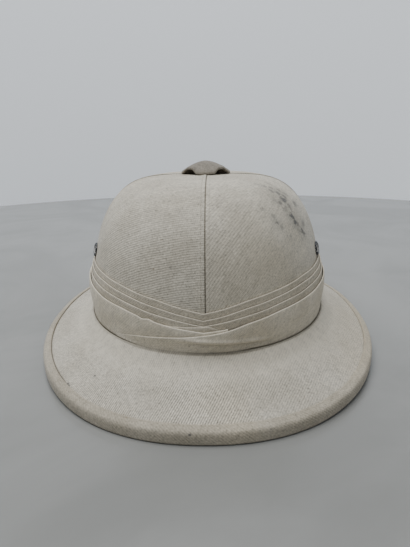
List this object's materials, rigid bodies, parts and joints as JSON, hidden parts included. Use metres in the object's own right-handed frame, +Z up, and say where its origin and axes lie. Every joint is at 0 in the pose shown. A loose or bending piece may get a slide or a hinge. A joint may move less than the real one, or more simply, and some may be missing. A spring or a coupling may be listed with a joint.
{
  "type": "pith helmet",
  "caption": "Sun helmet with a hollow moulded crown and brim, cloth panels, pleated puggaree, bound rim, eyelets and a lobed ventilator cap.",
  "frame": {"origin": "centre of the rim's outline on the surface that the hat rests on", "axes": "+Z up through the crown, the front of the hat faces -Y, +X is the wearer's left"},
  "size_m": [0.28, 0.344, 0.149],
  "materials": {
    "pith": "matt, pale and fibrous, sawn smooth",
    "crown_drill": "aged off-white cotton drill, fine twill, faint grey stains",
    "brim_drill": "aged off-white cotton drill, fine twill",
    "binding_cloth": "folded cotton drill, machine stitched",
    "puggaree_cotton": "pleated cotton, soft and matt",
    "cap_cloth": "cotton drill drawn over a stiff form",
    "eyelet_metal": "dark enamelled metal, worn"
  },
  "bodies": {
    "root": {"pith_shell": "pith", "crown_panel_front_left": "crown_drill", "crown_panel_front_right": "crown_drill", "crown_panel_back_left": "crown_drill", "crown_panel_back_right": "crown_drill", "brim_cover": "brim_drill", "brim_binding": "binding_cloth", "puggaree_pleats": "puggaree_cotton", "puggaree_band_left": "puggaree_cotton", "puggaree_band_right": "puggaree_cotton", "vent_cap": "cap_cloth", "eyelet_left": "eyelet_metal", "eyelet_right": "eyelet_metal"}
  },
  "joints": []
}
